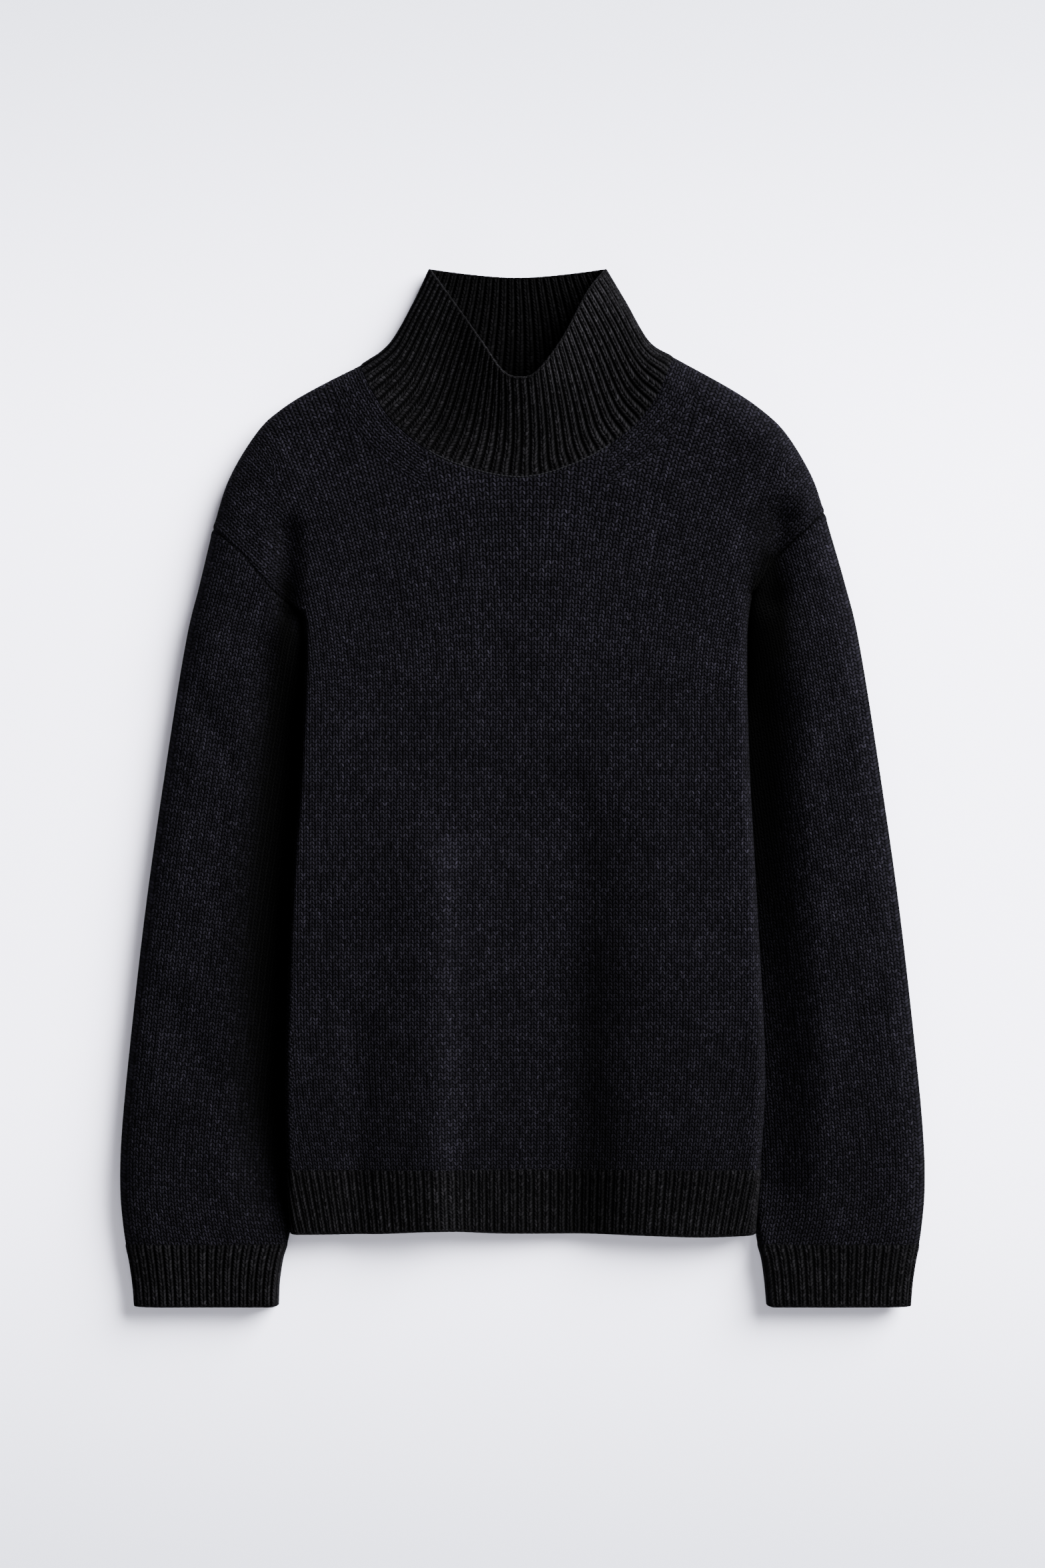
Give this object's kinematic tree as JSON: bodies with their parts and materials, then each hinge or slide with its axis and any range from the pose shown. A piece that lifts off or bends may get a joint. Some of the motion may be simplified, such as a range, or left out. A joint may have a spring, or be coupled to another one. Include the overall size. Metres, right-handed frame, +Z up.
{
  "type": "funnel neck sweater",
  "caption": "Chunky knit funnel-neck sweater laid flat on its back, with a ribbed collar, dropped shoulders, long sleeves at its sides, and a ribbed hem and cuffs.",
  "frame": {"origin": "on the surface that the sweater lies on, under the middle of its box", "axes": "+Z up out of the surface and the front of the sweater, +Y from the hem to the collar, +X to the right as seen from above"},
  "size_m": [0.582, 0.7526, 0.042],
  "materials": {
    "stockinette": "matt charcoal wool in plain stockinette",
    "rib": "matt charcoal wool in single rib"
  },
  "bodies": {
    "root": {"front_panel": "stockinette", "back_panel": "stockinette", "sleeve_left_upper": "stockinette", "sleeve_left_lower": "stockinette", "sleeve_right_upper": "stockinette", "sleeve_right_lower": "stockinette", "cuff_left": "rib", "cuff_right": "rib", "hem_rib_front": "rib", "hem_rib_back": "rib", "funnel_collar": "rib"}
  },
  "joints": []
}
